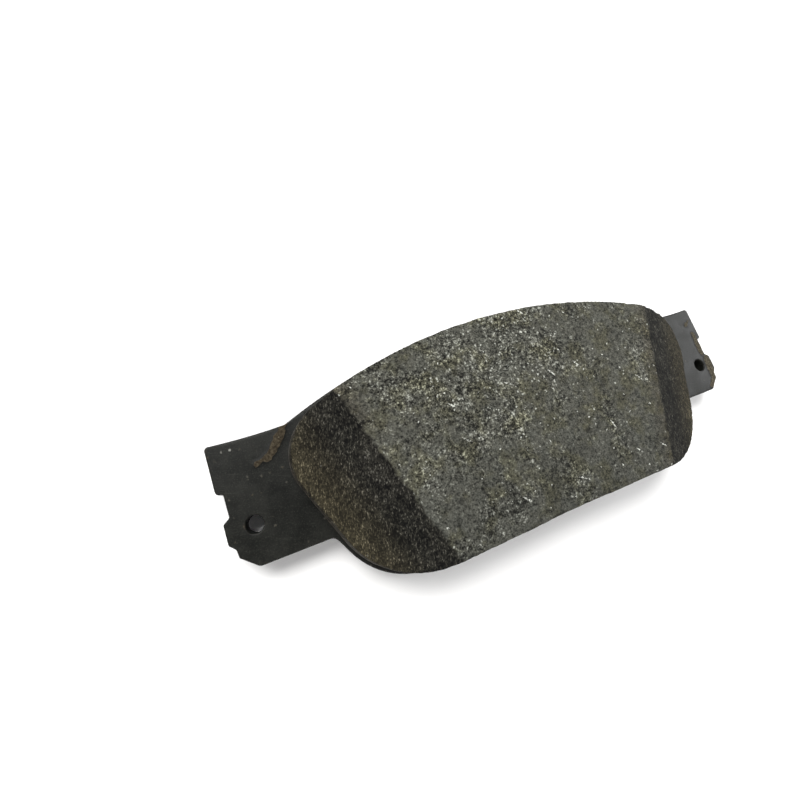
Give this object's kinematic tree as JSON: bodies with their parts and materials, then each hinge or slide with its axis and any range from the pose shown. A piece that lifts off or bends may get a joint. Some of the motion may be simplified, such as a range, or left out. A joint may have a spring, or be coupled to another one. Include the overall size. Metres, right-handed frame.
{
  "type": "disc brake pad",
  "caption": "Disc brake pad: chamfered friction block on an eared steel backing plate with a noise shim on its back, pressed against a brake disc by a caliper.",
  "frame": {"origin": "middle of the pad's back, in the plane of the shim's outer rubber skin", "axes": "+Z is the friction face's outward normal, towards the disc; +X runs from ear to ear; +Y points away from the wheel's axle"},
  "size_m": [0.155, 0.0558, 0.0169],
  "materials": {
    "friction_compound": "matte",
    "underlayer_compound": "matte",
    "bonding_resin": "satin",
    "coated_steel": "matte",
    "shim_adhesive": "satin",
    "shim_rubber": "matte",
    "shim_steel": "satin"
  },
  "bodies": {
    "root": {"friction_block": "friction_compound", "underlayer": "underlayer_compound", "bonding_film": "bonding_resin", "backing_plate": "coated_steel", "shim_adhesive": "shim_adhesive", "shim_inner_rubber": "shim_rubber", "shim_steel_sheet": "shim_steel", "shim_outer_rubber": "shim_rubber"}
  },
  "joints": []
}
